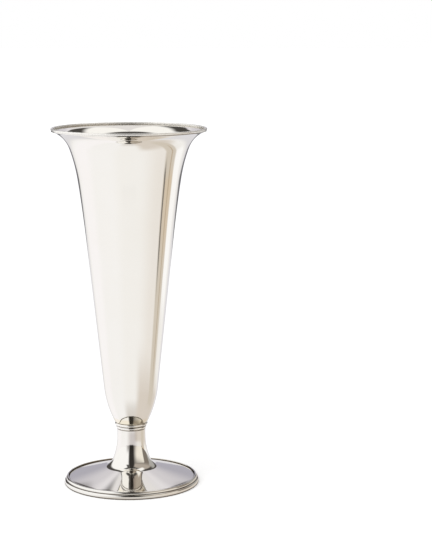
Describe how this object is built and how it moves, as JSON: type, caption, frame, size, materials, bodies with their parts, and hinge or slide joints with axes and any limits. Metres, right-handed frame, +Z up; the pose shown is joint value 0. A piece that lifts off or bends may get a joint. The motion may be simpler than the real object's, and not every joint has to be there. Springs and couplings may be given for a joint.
{
  "type": "trumpet vase",
  "caption": "Tall slim flower vase in polished silver with a flared mouth, a reeded collar, a short stem and a round foot with a stepped border.",
  "frame": {"origin": "centre of the circle that the foot stands on, on the table", "axes": "+Z up along the vase's axis; the vase is turned, so X and Y are any two level directions, and -Y faces the viewer of the picture"},
  "size_m": [0.1308, 0.1308, 0.305],
  "materials": {
    "polished_silver": "mirror-polished silver with fine hairlines, a little darker in the grooves",
    "unpolished_silver": "silver left dull from soldering"
  },
  "bodies": {
    "root": {"trumpet_body": "polished_silver", "rim_wire": "polished_silver", "body_floor": "unpolished_silver", "joint_collet": "unpolished_silver", "collar_reed_upper": "polished_silver", "collar_reed_lower": "polished_silver", "pedestal": "polished_silver", "foot_border_reed": "polished_silver", "foot_border_band": "polished_silver"}
  },
  "joints": []
}
